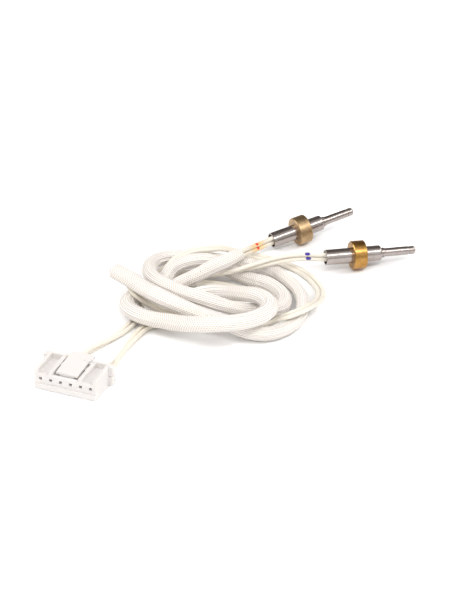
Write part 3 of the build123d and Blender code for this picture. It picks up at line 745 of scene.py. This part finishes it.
class HARNESS_OT_sleeve(bpy.types.Operator):
    """Braided sleeve, coiled as it lies"""

    bl_idname = "harness.sleeve"
    bl_label = "Braided Sleeve"

    def execute(self, context):
        settings = context.scene.harness_sleeve
        mesh, line = sleeve_mesh(settings)
        sleeve = piece("sleeve", mesh, braid_finish(settings))
        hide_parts("braided_sleeve")
        return {"FINISHED"}


class HARNESS_OT_leads(bpy.types.Operator):
    """Two-wire leads from the probes to the plug"""

    bl_idname = "harness.leads"
    bl_label = "Leads"

    def execute(self, context):
        settings = context.scene.harness_leads
        ivory = {"return": colour(settings.return_ivory), "flow": colour(settings.flow_ivory)}
        mark = {"return": colour(settings.cold_mark), "flow": colour(settings.hot_mark)}
        inside = [(x, y, z, 90) for x, y, z in SLEEVE_ROUTE[:-1]]
        routes = {"return": RETURN_ROUTE, "flow": FLOW_LEAD_IN + inside + FLOW_TAIL}
        for name, (probe, lead, side, last, number) in WIRES.items():
            control = wire_route(probe, routes[lead], side, last, number)
            mesh, line = wire_mesh(name, control, settings.radius)
            lengths = run_lengths(line)
            spot = int(np.searchsorted(lengths, MARK_DISTANCES[name] * MM))
            along = unit(line[spot + 1] - line[spot - 1])
            outwards = np.array([0.0, -0.75, 0.66])
            outwards = unit(outwards - along * (outwards @ along))
            finish = insulation_finish(name + "_insulation", ivory[lead], mark[lead],
                                       line[spot] + settings.radius * outwards, along, settings.mark_length,
                                       FLOW_STAIN if lead == "flow" else 0.0)
            wire = piece(name + "_insulated", mesh, finish)
            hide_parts(name)
        return {"FINISHED"}


class HARNESS_OT_probes(bpy.types.Operator):
    """Finishes of the two probes"""

    bl_idname = "harness.probes"
    bl_label = "Probes"

    def execute(self, context):
        settings = context.scene.harness_metal
        tin = tin_finish("tin_plate", colour(settings.tin))
        potting = dull_finish("potting_resin", (0.05, 0.045, 0.04), 700.0, 0.6)
        ceramic = dull_finish("white_ceramic", (0.8, 0.78, 0.72), 900.0, 0.55)
        bead = dull_finish("coated_bead", (0.16, 0.1, 0.05), 500.0, 0.25)
        flow_dull, return_dull = (0.30, 0.21, 0.12), (0.33, 0.17, 0.04)
        for name, probe, brass, dull, roughness in (
                ("flow", FLOW_PROBE, colour(settings.flow_brass), flow_dull, 0.42),
                ("return", RETURN_PROBE, colour(settings.return_brass), return_dull, 0.3)):
            place = probe_place(*probe)
            steel = steel_finish(name + "_steel", colour(settings.steel), place)
            dress([name + "_wide_tube", name + "_tip_tube"], steel)
            dress([name + "_brass_collar"], brass_finish(name + "_brass", brass, dull, place, roughness))
            dress([name + "_potting_plug"], potting)
            dress([name + "_crimp_splices", name + "_element_leads"], tin)
            dress([name + "_ceramic_insulator"], ceramic)
            dress([name + "_sensor_bead"], bead)
        return {"FINISHED"}


class HARNESS_OT_plug(bpy.types.Operator):
    """Finishes of the six-way plug"""

    bl_idname = "harness.plug"
    bl_label = "Plug"

    def execute(self, context):
        nylon = nylon_finish(colour(context.scene.harness_plug.nylon), plug_place())
        dress(["connector_housing", "latch_lever"], nylon)
        dress(["terminal_1", "terminal_2", "terminal_5", "terminal_6"],
              tin_finish("terminal_metal", colour(context.scene.harness_metal.terminal)))
        return {"FINISHED"}


def soft_light(name, place, aim, size, power, tint=(1.0, 1.0, 1.0)):
    """Rectangular area light at a place, facing a point."""
    data = bpy.data.lights.new(name, "AREA")
    data.shape = "RECTANGLE"
    data.size, data.size_y = size
    data.energy = power
    data.color = tint
    light = bpy.data.objects.new(name, data)
    light.location = place
    light.rotation_euler = (Vector(aim) - Vector(place)).to_track_quat("-Z", "Y").to_euler()
    bpy.context.scene.collection.objects.link(light)
    return light


# Middle of the harness as it lies, the direction in which the sky is brightest, and its dark side.
MIDDLE = (-0.045, -0.037, 0.005)
BRIGHT_SKY = (0.0, -0.71, 0.71)
DARK_SKY = (0.15, 0.137, 0.13)
FLOOR_DROP = 0.0002


class HARNESS_OT_stage(bpy.types.Operator):
    """Pale floor, soft light and the camera"""

    bl_idname = "harness.stage"
    bl_label = "Stage"

    def execute(self, context):
        settings = context.scene.harness_stage
        side = 3.0
        mesh = bpy.data.meshes.new("floor")
        corners = ((-side, -side), (side, -side), (side, side), (-side, side))
        mesh.from_pydata([(x, y, -FLOOR_DROP) for x, y in corners], [], [(0, 1, 2, 3)])
        recipe = Recipe("pale_floor")
        mesh.materials.append(recipe.surface(Base_Color=(*colour(settings.floor), 1.0), Roughness=0.8))
        floor = bpy.data.objects.new("floor", mesh)
        context.scene.collection.objects.link(floor)

        self.surroundings(context, settings)
        soft_light("key", (0.2, -0.5, 0.75), MIDDLE, (1.2, 0.08), settings.key)
        soft_light("left", (-0.75, 0.1, 0.65), MIDDLE, (0.6, 0.6), settings.fill)
        soft_light("right", (0.75, 0.1, 0.65), MIDDLE, (0.6, 0.6), settings.fill * 0.8)

        data = bpy.data.cameras.new("view")
        data.sensor_fit = "HORIZONTAL"
        data.sensor_width = 36.0
        data.lens = settings.lens
        data.clip_end = 20.0
        camera = bpy.data.objects.new("view", data)
        camera.location = (MIDDLE[0], MIDDLE[1] - settings.distance * math.cos(settings.elevation),
                           settings.distance * math.sin(settings.elevation))
        camera.rotation_euler = (math.pi / 2 - settings.elevation, 0.0, 0.0)
        context.scene.collection.objects.link(camera)
        context.scene.camera = camera
        context.scene.view_settings.view_transform = "Standard"
        return {"FINISHED"}

    def surroundings(self, context, settings):
        """Sky that is bright above the front and dims towards the back, which polished metal mirrors."""
        world = bpy.data.worlds.new("studio")
        recipe = Recipe("studio", world)
        direction = recipe.node("ShaderNodeTexCoord")
        facing = recipe.node("ShaderNodeVectorMath", {"operation": "DOT_PRODUCT"},
                             {0: direction, 1: BRIGHT_SKY}, output=1)
        stops = ((0.42, DARK_SKY), (1.0, (1.0, 1.0, 1.0)))
        shade = recipe.node("ShaderNodeValToRGB", {"stops": stops}, {"Fac": facing})
        back = recipe.node("ShaderNodeBackground", None, {"Color": shade, "Strength": settings.sky})
        recipe.node("ShaderNodeOutputWorld", None, {"Surface": back})
        context.scene.world = world


class HARNESS_PT_panel(bpy.types.Panel):
    """Sizes, colours and steps of the harness"""

    bl_label = "Sensor Probe Harness"
    bl_idname = "HARNESS_PT_panel"
    bl_space_type = "VIEW_3D"
    bl_region_type = "UI"
    bl_category = "Harness"

    def draw(self, context):
        for name, operator in (("harness_sleeve", HARNESS_OT_sleeve), ("harness_leads", HARNESS_OT_leads),
                               ("harness_metal", HARNESS_OT_probes), ("harness_plug", HARNESS_OT_plug),
                               ("harness_stage", HARNESS_OT_stage)):
            box = self.layout.box()
            group = getattr(context.scene, name)
            for key in group.bl_rna.properties.keys():
                if key not in ("rna_type", "name"):
                    box.prop(group, key)
            box.operator(operator.bl_idname)


CLASSES = (*SETTINGS.values(), HARNESS_OT_sleeve, HARNESS_OT_leads, HARNESS_OT_probes, HARNESS_OT_plug,
           HARNESS_OT_stage, HARNESS_PT_panel)


def register():
    for made in CLASSES:
        bpy.utils.register_class(made)
    for name, group in SETTINGS.items():
        setattr(bpy.types.Scene, name, PointerProperty(type=group))


def unregister():
    for name in SETTINGS:
        delattr(bpy.types.Scene, name)
    for made in reversed(CLASSES):
        bpy.utils.unregister_class(made)


def main():
    register()
    for step in ("stage", "sleeve", "leads", "probes", "plug"):
        getattr(bpy.ops.harness, step)()


if __name__ == "__main__":
    main()
